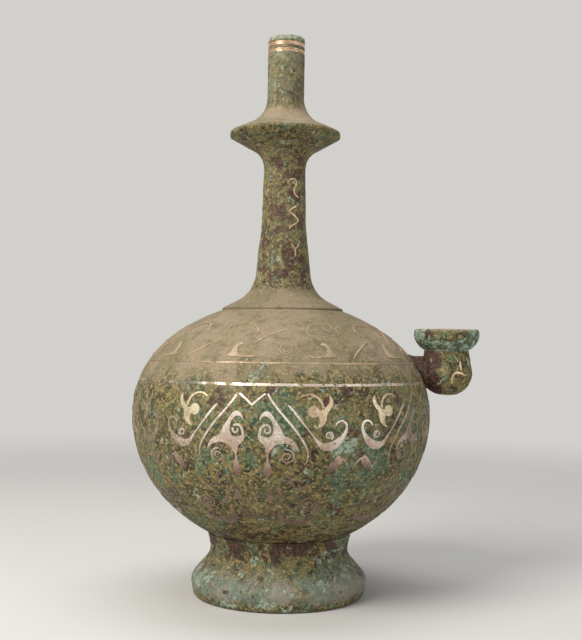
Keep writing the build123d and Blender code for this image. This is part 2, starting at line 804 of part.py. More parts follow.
# Cone that closes the saucer rim to rim and sweeps up into a short collar for the tube
cone_fall = tan(radians(cone_slope))
rim_high = flange_level + flange_edge
cone_corner = rim_high + (flange_radius - tube_radius) * cone_fall
cone_inner = flange_radius - flange_wall / sin(radians(cone_slope))
under_corner = flange_level + (cone_inner - tube_bore_radius) * cone_fall
tube_seat = cone_corner + cone_sweep * tan(radians(45 - cone_slope / 2)) + cone_collar
tube_spigot_radius = tube_bore_radius + tube_spigot_wall
with BuildPart() as flange_cone:
    with BuildSketch(Plane.XZ):
        with BuildLine():
            outside = FilletPolyline(
                (flange_radius, flange_level),
                (flange_radius, rim_high),
                (tube_radius, cone_corner),
                (tube_radius, tube_seat),
                radius=(0.9, cone_sweep),
            )
            inside = FilletPolyline(
                (cone_inner, flange_level),
                (tube_bore_radius, under_corner),
                (tube_bore_radius, tube_seat),
                radius=cone_sweep + flange_wall,
            )
            Line(outside @ 0, inside @ 0)
            Line(outside @ 1, inside @ 1)
        make_face()
    revolve(axis=Axis.Z)
    with BuildSketch(Plane.XY.offset(tube_seat - tube_spigot_length)):
        Circle(tube_spigot_radius + spigot_gap)
    extrude(amount=tube_spigot_length, mode=Mode.SUBTRACT)
flange_cone.part.label = "flange_cone"
export_step(flange_cone.part, "parts/flange_cone.step")

# Upper tube: a slender pipe, its spigot let into the cone's collar
with BuildPart() as upper_tube:
    with BuildSketch(Plane.XZ):
        with BuildLine():
            outside = FilletPolyline(
                (tube_radius, tube_seat),
                (tube_radius, tube_top),
                (tube_bore_radius, tube_top),
                radius=1.2,
            )
            Polyline(
                outside @ 1,
                (tube_bore_radius, tube_seat - tube_spigot_length + seam_gap),
                (tube_spigot_radius, tube_seat - tube_spigot_length + seam_gap),
                (tube_spigot_radius, tube_seat),
                outside @ 0,
            )
        make_face()
    revolve(axis=Axis.Z)
    add(tip_bands.part, mode=Mode.SUBTRACT)
upper_tube.part.label = "upper_tube"
export_step(upper_tube.part, "parts/upper_tube.step")

# Ferrule that joins bulb and dome
ferrule_start = belly_at(spout_level) - belly_wall - ferrule_inside
ferrule_end = spout_reach - bulb_radius + bulb_wall + ferrule_outside
with BuildPart() as spout_ferrule:
    with BuildSketch(Plane.YZ.offset(ferrule_start)):
        with Locations((0, spout_level)):
            Circle(ferrule_radius)
            Circle(ferrule_radius - ferrule_wall, mode=Mode.SUBTRACT)
    extrude(amount=ferrule_end - ferrule_start)
spout_ferrule.part.label = "spout_ferrule"
export_step(spout_ferrule.part, "parts/spout_ferrule.step")

# Collar between the dome and the bulb, wider towards the dome
collar_start = belly_at(spout_level + collar_radius + collar_flare) - 4.0
collar_end = spout_reach - 0.4 * bulb_radius
with BuildPart() as spout_collar:
    with BuildSketch(Plane.XZ):
        with BuildLine():
            edge = FilletPolyline(
                (collar_start, spout_level + collar_radius + collar_flare),
                (belly_at(spout_level) - 3.0, spout_level + collar_radius),
                (collar_end, spout_level + collar_radius),
                radius=collar_round,
            )
            Polyline(
                edge @ 1,
                (collar_end, spout_level + ferrule_radius + ferrule_gap),
                (collar_start, spout_level + ferrule_radius + ferrule_gap),
                edge @ 0,
            )
        make_face()
    revolve(axis=Axis((0, 0, spout_level), (1, 0, 0)))
    add(belly_form.part, mode=Mode.SUBTRACT)
    add(bulb_outside, mode=Mode.SUBTRACT)
spout_collar.part.label = "spout_collar"
export_step(spout_collar.part, "parts/spout_collar.step")


def bulb_scroll():
    path = [(-4.6, -6.8), (-5.6, -3.2), (-4.4, -0.2), (-1.2, 0.4), (2.0, -0.6), (5.0, -1.0)]
    stroke(path, [0.8, 1.2, 1.4, 1.4, 1.2, 0.7])


def bulb_prong():
    stroke([(0.4, 7.6), (0.2, 4.6), (0.6, 1.9)], [0.8, 1.3, 0.9])


# Ornament on the bulb's front
bulb_turn = 24.0
with BuildPart() as bulb_skin:
    with BuildSketch(Plane.XZ):
        with BuildLine():
            bulb_profile(sheet_seat)
            bulb_profile(sheet_thickness)
            Line((0, spout_level - bulb_round - sheet_thickness), (0, spout_level - bulb_round - sheet_seat))
            mouth_edge = bulb_radius - bulb_lean
            Line((mouth_edge + sheet_seat, mouth_level), (mouth_edge + sheet_thickness, mouth_level))
        make_face()
    revolve(axis=Axis.Z)

bulb_side = Vector(cos(radians(bulb_turn)), sin(radians(bulb_turn)), 0)
bulb_away = Vector(sin(radians(bulb_turn)), -cos(radians(bulb_turn)), 0)
bulb_front = bulb_away * bulb_radius + Vector(0, 0, spout_level)
bulb_plane = Plane(origin=bulb_front, x_dir=bulb_side, z_dir=bulb_away)
scroll = set_on(bulb_plane, bulb_scroll, bulb_skin.part)
prong = set_on(bulb_plane, bulb_prong, bulb_skin.part)
with BuildPart() as bulb_inlay:
    with Locations((spout_reach, 0, 0)):
        add([scroll, prong], clean=False)
bulb_inlay.part.label = "bulb_inlay"
export_step(bulb_inlay.part, "parts/bulb_inlay.step")

# Bulb of the spout, open upwards, with a hole for the ferrule
with BuildPart() as spout_bulb:
    with BuildSketch(Plane.XZ):
        with BuildLine():
            bulb_profile(0)
            bulb_profile(-bulb_wall)
            Line((0, spout_level - bulb_round), (0, spout_level - bulb_round + bulb_wall))
            Line((mouth_edge, mouth_level), (mouth_edge - bulb_wall, mouth_level))
        make_face()
    revolve(axis=Axis.Z)
    with BuildSketch(Plane.YZ.offset(-2 * bulb_radius)):
        with Locations((0, spout_level)):
            Circle(ferrule_radius + ferrule_gap)
    extrude(amount=2 * bulb_radius, mode=Mode.SUBTRACT)
spout_bulb.part.position = (spout_reach, 0, 0)
spout_bulb.part.label = "spout_bulb"
export_step(spout_bulb.part, "parts/spout_bulb.step")

# Flared lip on the bulb's mouth
mouth_inner = mouth_edge - lip_wall
lip_inner = lip_radius - lip_wall
lip_top = mouth_level + lip_height
with BuildPart() as spout_lip:
    with BuildSketch(Plane.XZ):
        with BuildLine():
            outer_bow = ThreePointArc(
                (mouth_edge, mouth_level),
                (0.48 * mouth_edge + 0.52 * lip_radius, mouth_level + 0.4 * lip_height),
                (lip_radius, lip_top - 1.4),
            )
            inner_bow = ThreePointArc(
                (mouth_inner, mouth_level),
                (0.44 * mouth_inner + 0.56 * lip_inner, mouth_level + 0.44 * lip_height),
                (lip_inner, lip_top - 1.4),
            )
            ThreePointArc(outer_bow @ 1, (lip_radius - lip_wall / 2, lip_top), inner_bow @ 1)
            Line(inner_bow @ 0, outer_bow @ 0)
        make_face()
    revolve(axis=Axis.Z)
spout_lip.part.position = (spout_reach, 0, 0)
spout_lip.part.label = "spout_lip"
export_step(spout_lip.part, "parts/spout_lip.step")
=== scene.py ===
import math

import bpy
import bmesh
import numpy as np
from mathutils import Matrix, Vector, noise


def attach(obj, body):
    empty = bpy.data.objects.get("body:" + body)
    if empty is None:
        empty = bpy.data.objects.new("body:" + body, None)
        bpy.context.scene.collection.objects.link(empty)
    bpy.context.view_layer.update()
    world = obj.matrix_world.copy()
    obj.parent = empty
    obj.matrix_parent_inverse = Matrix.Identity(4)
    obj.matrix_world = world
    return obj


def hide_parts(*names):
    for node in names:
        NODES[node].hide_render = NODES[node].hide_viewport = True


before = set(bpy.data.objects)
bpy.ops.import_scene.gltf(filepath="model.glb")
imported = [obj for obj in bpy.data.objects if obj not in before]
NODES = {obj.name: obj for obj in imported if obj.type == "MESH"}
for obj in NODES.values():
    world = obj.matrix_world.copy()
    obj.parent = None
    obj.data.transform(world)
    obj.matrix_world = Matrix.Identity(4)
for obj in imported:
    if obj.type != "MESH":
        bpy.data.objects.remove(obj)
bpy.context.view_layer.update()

MM = 0.001

# Sizes of the construction, in millimetres and degrees

HEIGHT = 360.0
WALL = 3.2
BELLY_R, BELLY_MID = 95.3, 116.0
DOME_RISE, DOME_SIDE, DOME_HOLE_R = 72.6, 60.6, 13.1
BOWL_DEPTH, BOWL_SIDE = 86.5, 79.0
LAP_DEPTH, FIT = 6.0, 0.05

FOOT_SEAT_R, FOOT_REACH = 46.4, 3.8
FOOT_TOP_R, FOOT_TOP_HOLE = 47.0, 42.6
FOOT_WAIST_R, FOOT_WAIST_HOLE, FOOT_WAIST_Z = 43.2, 40.2, 27.0
FOOT_FLARE_R, FOOT_FLARE_Z = 56.6, 11.88
FOOT_HOLLOW_R, FOOT_HOLLOW_Z = 51.7, 10.8
FOOT_EDGE_R, FOOT_EDGE_Z = 54.6, 1.0
FOOT_BASE_R, FOOT_BASE_HOLE = 52.0, 48.2
FOOT_ROUNDS, FOOT_INNER_ROUNDS = (10.0, 7.0, 2.0), (10.0, 4.0)

SKIRT_R, SKIRT_EDGE, SKIRT_SLOPE, SKIRT_ROUND = 39.0, 1.3, 27.0, 22.0
SKIRT_SEAT_ROWS = (17.0, 21.0, 25.0, 29.0, 33.0, 36.0)
STEM_R, STEM_Z, STEM_ROUND = 14.1, 238.0, 20.0
STEM_LOW_R, STEM_LOW_DROP = 17.2, 28.4
STEM_TOP_R, STEM_TOP_RISE = 13.4, 32.0
NECK_BORE_R, SPIGOT_R, SPIGOT_LOW = 10.6, 13.0, 182.4

FLANGE_R, FLANGE_WALL, FLANGE_ROUND = 35.8, 2.4, 0.9
FLANGE_LOW, FLANGE_MID, FLANGE_HIGH = 295.4, 296.6, 297.8
SAUCER_SLOPE, SAUCER_ROUND = 30.0, 14.0
CONE_SLOPE, CONE_ROUND = 25.0, 19.0
TUBE_R, TUBE_BORE_R, TUBE_ROUND, TUBE_LEAD = 11.8, 8.8, 1.2, 1.4
SOCKET_R, SOCKET_DEPTH, SOCKET_FIT = 10.4, 4.0, 0.1
BANDS, BAND_HALF, BAND_DEPTH = (354.8, 350.3), 1.2, 0.5

SPOUT_Z, MOUTH_Z, LIP_Z = 143.5, 158.5, 171.5
BULB_R, BULB_ROUND, BULB_MOUTH, BULB_WALL = 16.6, 14.2, 14.0, 2.2
SPOUT_GAP = 0.3
SPOUT_X = BELLY_R - DOME_SIDE + BULB_R - BULB_ROUND
SPOUT_X += math.sqrt((DOME_SIDE + BULB_ROUND + SPOUT_GAP) ** 2 - (SPOUT_Z - BELLY_MID) ** 2)
LIP_R, LIP_WALL = 20.8, 2.4
LIP_EDGE_DROP, LIP_RIM, LIP_RIM_DROP = 1.9, 3.6, 0.4
LIP_SIDE_R, LIP_SIDE_RISE = 18.9, 4.0
LIP_HOLLOW_R, LIP_HOLLOW_RISE = 15.6, 4.6

# Levels and half widths of the girdle wires, and a radius that they all lie outside
GIRDLES = ((137.5, 0.75), (149.6, 0.45))
GIRDLE_INNER_R = 60.0

AXIS_R = 0.05


def smooth(low, high, value):
    """Goes smoothly from 0 to 1 as a value goes from low to high."""
    t = min(max((value - low) / (high - low), 0.0), 1.0)
    return t * t * (3 - 2 * t)


def ramp(low, high, values):
    """The same for an array of values."""
    t = np.clip((values - low) / (high - low), 0.0, 1.0)
    return t * t * (3 - 2 * t)


def within(zone, value):
    return zone[0] < value < zone[1]


def lump(p, size, seed, octaves=3):
    """Soft noise between about -1 and 1 with lumps of a size in millimetres."""
    q = Vector((p[0] / size + seed * 7.3, p[1] / size - seed * 3.1, p[2] / size + seed * 1.7))
    return noise.fractal(q, 0.6, 2.1, octaves, noise_basis="PERLIN_ORIGINAL")


# Outlines of the turned pieces, as points of radius and level


def arc(cx, cz, radius, start, sweep, step=0.6):
    count = max(2, int(abs(math.radians(sweep)) * radius / step))
    out = []
    for i in range(count + 1):
        a = math.radians(start + sweep * i / count)
        out.append((cx + radius * math.cos(a), cz + radius * math.sin(a)))
    return out


def bow(a, m, b, count=24):
    """Points on the circle through three points, from the first to the last."""
    ax, ay = a
    bx, by = m
    cx, cy = b
    d = 2 * (ax * (by - cy) + bx * (cy - ay) + cx * (ay - by))
    ux = ((ax**2 + ay**2) * (by - cy) + (bx**2 + by**2) * (cy - ay) + (cx**2 + cy**2) * (ay - by)) / d
    uy = ((ax**2 + ay**2) * (cx - bx) + (bx**2 + by**2) * (ax - cx) + (cx**2 + cy**2) * (bx - ax)) / d
    r = math.hypot(ax - ux, ay - uy)
    a0 = math.atan2(ay - uy, ax - ux)
    a1 = math.atan2(by - uy, bx - ux)
    a2 = math.atan2(cy - uy, cx - ux)
    way = 1 if (a1 - a0) % (2 * math.pi) < (a2 - a0) % (2 * math.pi) else -1
    sweep = (a2 - a0) % (2 * math.pi) if way > 0 else -((a0 - a2) % (2 * math.pi))
    return [
        (ux + r * math.cos(a0 + sweep * i / count), uy + r * math.sin(a0 + sweep * i / count))
        for i in range(count + 1)
    ]


def rounded(points, radii, step=0.6):
    """Points along a polyline whose inner corners are rounded."""
    out = [points[0]]
    for i in range(1, len(points) - 1):
        p = Vector(points[i])
        a = (Vector(points[i - 1]) - p).normalized()
        b = (Vector(points[i + 1]) - p).normalized()
        r = radii[i - 1]
        half = a.angle(b) / 2
        nearly_straight = half > 1.56
        if r <= 0 or nearly_straight:
            out.append((p.x, p.y))
            continue
        reach = r / math.tan(half)
        centre = p + (a + b).normalized() * (r / math.sin(half))
        t0 = p + a * reach - centre
        t1 = p + b * reach - centre
        a0 = math.atan2(t0.y, t0.x)
        turn = math.atan2(t1.y, t1.x) - a0
        turn = (turn + math.pi) % (2 * math.pi) - math.pi
        out += arc(centre.x, centre.y, r, math.degrees(a0), math.degrees(turn), step)
    out.append(points[-1])
    return out


def resample(points, step):
    """The same line with its points about one step apart."""
    out = [points[0]]
    for a, b in zip(points, points[1:]):
        length = math.hypot(b[0] - a[0], b[1] - a[1])
        count = max(1, round(length / step))
        for i in range(1, count + 1):
            out.append((a[0] + (b[0] - a[0]) * i / count, a[1] + (b[1] - a[1]) * i / count))
    kept = [out[0]]
    run = 0.0
    for a, b in zip(out, out[1:]):
        run += math.hypot(b[0] - a[0], b[1] - a[1])
        if run >= 0.95 * step:
            kept.append(b)
            run = 0.0
    if kept[-1] != out[-1]:
        kept.append(out[-1])
    return kept


def cap_radius(rise, side):
    """Radius of the arc that closes half a belly over its round side."""
    across = BELLY_R - side
    return (across**2 + rise**2 - side**2) / (2 * (rise - side))


def half_arcs(rise, side, inset, way, end_radius=AXIS_R):
    """Half a belly from its widest level up or down: a round side, then a flatter cap."""
    cap = cap_radius(rise, side)
    turn = math.degrees(math.atan2(cap - rise, BELLY_R - side))
    out = arc(BELLY_R - side, BELLY_MID, side - inset, 0, way * turn)
    stop = math.degrees(math.acos(end_radius / (cap - inset)))
    out += arc(0, BELLY_MID + way * (rise - cap), cap - inset, way * turn, way * (stop - turn))[1:]
    return out


def bowl_level(radius):
    """Level of the bowl's underside."""
    cap = cap_radius(BOWL_DEPTH, BOWL_SIDE)
    return BELLY_MID - BOWL_DEPTH + cap - math.sqrt(cap**2 - radius**2)


def dome_level(radius):
    """Level of the shoulder's upper side."""
    cap = cap_radius(DOME_RISE, DOME_SIDE)
    return BELLY_MID + DOME_RISE - cap + math.sqrt(cap**2 - radius**2)


def stem_radius(level):
    low_lean = (STEM_LOW_R - STEM_R) / STEM_LOW_DROP
    top_lean = (STEM_R - STEM_TOP_R) / STEM_TOP_RISE
    return STEM_R + (STEM_Z - level) * (top_lean if level >= STEM_Z else low_lean)


# Weathering: where each kind of corrosion lies, as shares between 0 and 1

WEATHER_NAMES = ("dust", "red", "green", "pale", "crust")
INSIDE_SHARES = (0.15, 0.2, 0.1, 0.0, 0.0)

# Stretches of level with weathering of their own
FOOT_TOP, UNDERSIDE_TOP = 34, 60
FRIEZE = (118, 136)
SPOUT_LEVELS, SPOUT_FROM_X, SPOUT_ACROSS = (125, 176), 80, 23
SKIRT, SKIRT_REACH = (170, 186), 41
STEM_STAIN, STEM_DUST = (190, 280), (196, 290)
FLANGE = (286, 304)
TUBE_DUST_FROM, TUBE_PALE_FROM, TIP_FROM = 312, 318, 357

# The purple-brown stain on the spout's collar and on the bulb's near side
STAIN_END_X, STAIN_CORE_X, COLLAR_END_X = 104, 97, 93

# Growths on the belly, by their turn from the front in degrees and their level
TURN_MM = 1.6
GREEN_SPOT = (0, 116)
CRUST_SPOTS = (((23, 103), 3, 0.75), ((-9, 143), 2, 0.6))


def weather(p, n):
    """The five shares at a point with a normal."""
    x, y, z = p
    turn = math.degrees(math.atan2(x, -y))
    on_spout = x > SPOUT_FROM_X and within(SPOUT_LEVELS, z)
    on_spout = on_spout and math.hypot(y, 0.6 * (z - SPOUT_Z)) < SPOUT_ACROSS
    mid = lump(p, 15, 2)
    small = lump(p, 6.5, 3)

    def spot(centre):
        return math.hypot((turn - centre[0]) * TURN_MM, z - centre[1])

    # Dust lies on what faces up, and more on the side away from the spout
    dust = smooth(-0.08, 0.84, n[2] + 0.16 * mid + 0.10 * small - 0.14 * smooth(-70, 60, x))
    if z < UNDERSIDE_TOP:
        dust *= 0.3
    if within(STEM_DUST, z):
        dust = max(0.5 * dust, 0.33)
    if z > TUBE_DUST_FROM:
        dust = max(dust, 0.33)
    # Dust fills the skirt's step; it also serves as painted light that lifts the shade under the skirt's
    # edge
    if within(SKIRT, z) and math.hypot(x, y) < SKIRT_REACH:
        dust = max(dust, 0.8)

    # Red oxide lies in blotches, most on the stem and on the spout's collar; round the foot's waist it is
    # red oxide and painted shade in the hollow
    red = smooth(0.30, 0.50, 0.75 * lump(p, 17, 5) + 0.45 * lump(p, 6, 6))
    most = 0.55
    if within(STEM_STAIN, z):
        most = 1.0
        red = max(red, smooth(0.08, 0.36, lump(p, 11, 14) + 0.12 * small) * smooth(0.2, 0.8, -n[1]))
    if within(FRIEZE, z):
        most = 0.9
    if on_spout and x < STAIN_END_X:
        most = 1.0
        stain = smooth(STAIN_END_X, STAIN_CORE_X, x + 5 * mid) * smooth(MOUTH_Z + 2, MOUTH_Z - 3, z)
        if x < COLLAR_END_X:
            stain *= smooth(17, 11, math.hypot(y, z - SPOUT_Z) + 4 * small)
        red = max(red, stain)
        dust *= 1 - 0.9 * stain
    # Round the foot's waist: red oxide, made stronger as painted shade in the hollow
    waist_oxide_and_shade = smooth(54, 42, z) * smooth(22, 32, z)
    red = max(red * most, waist_oxide_and_shade * smooth(-0.15, 0.2, 0.7 * lump(p, 16, 8) + 0.4 * small))

    # Green lies in wide patches, more of it low on the belly
    green = smooth(0.0, 0.42, 0.6 * lump(p, 34, 1) + 0.55 * lump(p, 11, 9) + 0.25 * small - 0.06)
    green *= 0.5 + 0.5 * smooth(140, 60, z)
    green = max(green, 0.75 * smooth(30, 8, spot(GREEN_SPOT) + 9 * small))
    if within(FLANGE, z):
        green = max(green, 0.6 * smooth(-0.1, 0.4, mid))

    # Pale chalk lies on the foot and, with green, on the tube
    pale = smooth(29, 12, z) * smooth(0, 9, z) * (0.85 + 0.4 * mid)
    if z > TUBE_PALE_FROM:
        pale = 0.25 + 0.35 * mid
        green = max(green, 0.3 + 0.5 * small)

    # Crust stands proud in small growths, most of it on the spout's lip, the tip and the foot
    crust = smooth(0.36, 0.58, 0.55 * lump(p, 9, 10) + 0.6 * lump(p, 4.2, 11)) * 0.7
    if on_spout and z > MOUTH_Z - 1:
        crust = max(crust, smooth(-0.30, 0.25, lump(p, 4.5, 12)))
        green = max(green, 0.8)
        dust *= 0.4
    for centre, core, share in CRUST_SPOTS:
        crust = max(crust, share * smooth(11, core, spot(centre) + 8 * small))
    if z > TIP_FROM:
        crust = max(crust, 0.7)
    if z < FOOT_TOP:
        crust = max(crust, 0.65 * smooth(0.12, 0.45, lump(p, 12, 13) + 0.3 * small))
    return dust, red, green, pale, crust


RELIEF_LOW, RELIEF_HIGH = -0.25, 0.42


def relief(p, shares):
    """How far the weathered surface stands off the nominal one, in millimetres."""
    _, red, _, _, crust = shares
    off = 0.17 + 0.11 * lump(p, 16, 21, 2) + 0.08 * lump(p, 5, 22, 2) + 0.07 * lump(p, 2.4, 23, 2)
    off += 0.18 * crust * (0.5 + 0.8 * lump(p, 3.0, 24, 2))
    off -= 0.10 * red
    if p[0] ** 2 + p[1] ** 2 > GIRDLE_INNER_R**2:
        for level, half in GIRDLES:
            off *= smooth(half + 0.1, half + 1.1, abs(p[2] - level))
    return min(max(off, RELIEF_LOW), RELIEF_HIGH)


def store(mesh, names, table):
    """Keeps shares on the mesh's points, one column of the table for each name."""
    for k, name in enumerate(names):
        layer = mesh.attributes.new(name, "FLOAT", "POINT")
        layer.data.foreach_set("value", np.ascontiguousarray(table[:, k], np.float32))


# Weathered pieces

INSIDE_STEP = 3.0
FADE_ROWS = 2.0
SAME_POINT = 1e-6


def apart(a, b):
    return math.hypot(a[0] - b[0], a[1] - b[1]) >= SAME_POINT


def ring_mesh(name, verts, segments):
    """A closed mesh from rows of points round an axis, the last row joined to the first."""
    total = len(verts) // segments
    faces = []
    for k in range(total):
        j = (k + 1) % total
        for i in range(segments):
            m = (i + 1) % segments
            faces.append((k * segments + i, k * segments + m, j * segments + m, j * segments + i))
    mesh = bpy.data.meshes.new(name)
    mesh.from_pydata(verts, [], faces)
    bm = bmesh.new()
    bm.from_mesh(mesh)
    bmesh.ops.recalc_face_normals(bm, faces=bm.faces)
    bm.to_mesh(mesh)
    bm.free()
    mesh.shade_smooth()
    return mesh


def turned(name, outside, inside, segments, step, centre=(0.0, 0.0), rough=1.0, open_ends=(False, False)):
    """A closed piece turned about an upright axis: the outside weathered, the inside plain.

    The two lines together go once round the section. An end named in open_ends keeps its weathering
    up to the last row, where another piece goes on.
    """
    outer = resample(outside, step)
    inner = resample(inside, INSIDE_STEP)
    if not apart(inner[0], outer[-1]):
        inner = inner[1:]
    if not apart(inner[-1], outer[0]):
        inner = inner[:-1]
    rows = outer + inner
    last = len(outer) - 1
    rises = outer[-1][1] > outer[0][1]
    verts = []
    table = []
    for k, (r, z) in enumerate(rows):
        before = rows[0] if k == 0 else rows[k - 1]
        after = rows[k] if k == last else rows[(k + 1) % len(rows)]
        tr, tz = after[0] - before[0], after[1] - before[1]
        length = math.hypot(tr, tz) * (1.0 if rises else -1.0)
        nr, nz = tz / length, -tr / length
        start = 1.0 if open_ends[0] else min(k / FADE_ROWS, 1.0)
        end = 1.0 if open_ends[1] else min((last - k) / FADE_ROWS, 1.0)
        fade = min(start, end)
        for i in range(segments):
            a = 2 * math.pi * i / segments
            ca, sa = math.cos(a), math.sin(a)
            off = 0.0
            shares = INSIDE_SHARES
            if k <= last:
                p = (centre[0] + r * ca, centre[1] + r * sa, z)
                shares = weather(p, (nr * ca, nr * sa, nz))
                off = relief(p, shares) * fade * rough
            table.append(shares)
            reach = r + nr * off
            place = (centre[0] + reach * ca, centre[1] + reach * sa, max(z + nz * off, 0.0))
            verts.append([c * MM for c in place])
    mesh = ring_mesh(name, verts, segments)
    meeting = [k for k, is_open in zip((0, last), open_ends) if is_open]
    for edge in mesh.edges:
        row, other = (v // segments for v in edge.vertices)
        edge.use_edge_sharp = row == other and row in meeting
    store(mesh, WEATHER_NAMES, np.array(table))
    obj = bpy.data.objects.new(name, mesh)
    bpy.context.scene.collection.objects.link(obj)
    return obj


def recast(name, node, voxel, sunk=0.1):
    """A denser, weathered copy of a piece that isn't turned."""
    obj = NODES[node].copy()
    obj.data = NODES[node].data.copy()
    obj.name = name
    obj.parent = None
    for key in list(obj.keys()):
        del obj[key]
    bpy.context.scene.collection.objects.link(obj)
    mod = obj.modifiers.new("even", "REMESH")
    mod.mode = "VOXEL"
    mod.voxel_size = voxel * MM
    bpy.context.view_layer.update()
    mesh = bpy.data.meshes.new_from_object(obj.evaluated_get(bpy.context.evaluated_depsgraph_get()))
    obj.modifiers.clear()
    obj.data = mesh
    mesh.update()
    places = []
    table = []
    for v in mesh.vertices:
        p = (v.co.x / MM, v.co.y / MM, v.co.z / MM)
        shares = weather(p, v.normal)
        table.append(shares)
        places.append(v.co + v.normal * (relief(p, shares) - sunk) * MM)
    for v, place in zip(mesh.vertices, places):
        v.co = place
    mesh.shade_smooth()
    store(mesh, WEATHER_NAMES, np.array(table))
    return obj


# Materials


def srgb(r, g, b):
    def lin(c):
        c /= 255
        return c / 12.92 if c <= 0.04045 else ((c + 0.055) / 1.055) ** 2.4

    return (lin(r), lin(g), lin(b), 1.0)


class Shade:
    """Small helper that adds nodes to one material."""

    def __init__(self, name):
        self.mat = bpy.data.materials.new(name)
        self.mat.use_nodes = True
        self.nodes, self.links = self.mat.node_tree.nodes, self.mat.node_tree.links
        self.bsdf = self.nodes["Principled BSDF"]
        self.where = self.nodes.new("ShaderNodeTexCoord").outputs["Object"]

    def share(self, name):
        """A share that is kept on the mesh's points."""
        node = self.nodes.new("ShaderNodeAttribute")
        node.attribute_name = name
        return node.outputs["Fac"]

    def grain(self, size_mm, detail=4.0, rough=0.6, shift=0.0):
        """Noise with grains of a size. Another shift gives another pattern."""
        node = self.nodes.new("ShaderNodeTexNoise")
        node.inputs["Scale"].default_value = 1 / MM / size_mm
        node.inputs["Detail"].default_value = detail
        node.inputs["Roughness"].default_value = rough
        if shift:
            move = self.nodes.new("ShaderNodeVectorMath")
            move.operation = "ADD"
            move.inputs[1].default_value = (shift, -shift * 0.7, shift * 1.3)
            self.links.new(self.where, move.inputs[0])
            self.links.new(move.outputs[0], node.inputs["Vector"])
        else:
            self.links.new(self.where, node.inputs["Vector"])
        return node.outputs["Fac"]

    def level(self):
        """Height above the table."""
        node = self.nodes.new("ShaderNodeSeparateXYZ")
        self.links.new(self.where, node.inputs[0])
        return node.outputs["Z"]

    def cells(self, size_mm):
        """Distance from the middle of cells of a size."""
        node = self.nodes.new("ShaderNodeTexVoronoi")
        node.inputs["Scale"].default_value = 1 / MM / size_mm
        self.links.new(self.where, node.inputs["Vector"])
        return node.outputs["Distance"]

    def step(self, value, low, high, out_low=0.0, out_high=1.0):
        node = self.nodes.new("ShaderNodeMapRange")
        node.interpolation_type = "SMOOTHSTEP"
        node.inputs["From Min"].default_value = low
        node.inputs["From Max"].default_value = high
        node.inputs["To Min"].default_value = out_low
        node.inputs["To Max"].default_value = out_high
        self.links.new(value, node.inputs["Value"])
        return node.outputs["Result"]

    def math(self, kind, a, b):
        node = self.nodes.new("ShaderNodeMath")
        node.operation = kind
        for socket, value in zip(node.inputs, (a, b)):
            if isinstance(value, (int, float)):
                socket.default_value = value
            else:
                self.links.new(value, socket)
        return node.outputs[0]

    def mix(self, share, a, b):
        """The first colour where the share is 0, the second where it is 1."""
        node = self.nodes.new("ShaderNodeMix")
        node.data_type = "RGBA"
        sockets = [s for s in node.inputs if s.type == "RGBA"]
        for socket, value in zip(sockets, (a, b)):
            if isinstance(value, tuple):
                socket.default_value = value
            else:
                self.links.new(value, socket)
        self.links.new(share, node.inputs[0])
        return [s for s in node.outputs if s.type == "RGBA"][0]

    def layer(self, under, share, most, over):
        """One colour over another, where a share says so and at most so much."""
        return self.mix(self.math("MULTIPLY", share, most), under, over)

    def edge(self, share, size_mm, low, high, shift):
        """A weathering share with a broken, grainy border."""
        grain = self.grain(size_mm, 5.0, 0.65, shift)
        both = self.math("ADD", share, self.math("MULTIPLY", self.math("SUBTRACT", grain, 0.5), 1.1))
        return self.step(both, low, high)

    def bump(self, height, strength, distance_mm):
        node = self.nodes.new("ShaderNodeBump")
        node.inputs["Strength"].default_value = strength
        node.inputs["Distance"].default_value = distance_mm * MM
        self.links.new(height, node.inputs["Height"])
        self.links.new(node.outputs["Normal"], self.bsdf.inputs["Normal"])


# Colours of the corroded bronze

OLIVE_DARK, OLIVE_LIGHT, OLIVE_GREY = srgb(36, 31, 17), srgb(126, 113, 70), srgb(108, 110, 76)
EARTH, OCHRE, MOSS, SOOT = srgb(66, 52, 34), srgb(176, 154, 104), srgb(56, 76, 50), srgb(34, 30, 18)
GREEN_DARK, GREEN_LIGHT, TEAL = srgb(58, 88, 68), srgb(108, 136, 106), srgb(98, 146, 124)
CHALK_GREEN, CHALK_GREY = srgb(112, 130, 116), srgb(148, 142, 130)
CHALK_LIGHT, CHALK_DARK = srgb(158, 158, 140), srgb(84, 92, 76)
OXIDE_DARK, OXIDE_LIGHT = srgb(54, 32, 26), srgb(96, 68, 60)
CRUST_GREEN, CRUST_WHITE = srgb(86, 126, 108), srgb(180, 188, 168)
PIT = srgb(30, 26, 16)
SAND_GREEN, SAND_ROSE, SAND_LIGHT = srgb(128, 116, 88), srgb(152, 134, 110), srgb(172, 156, 130)
SAND_BROWN, SAND_OLIVE = srgb(100, 84, 74), srgb(104, 108, 72)


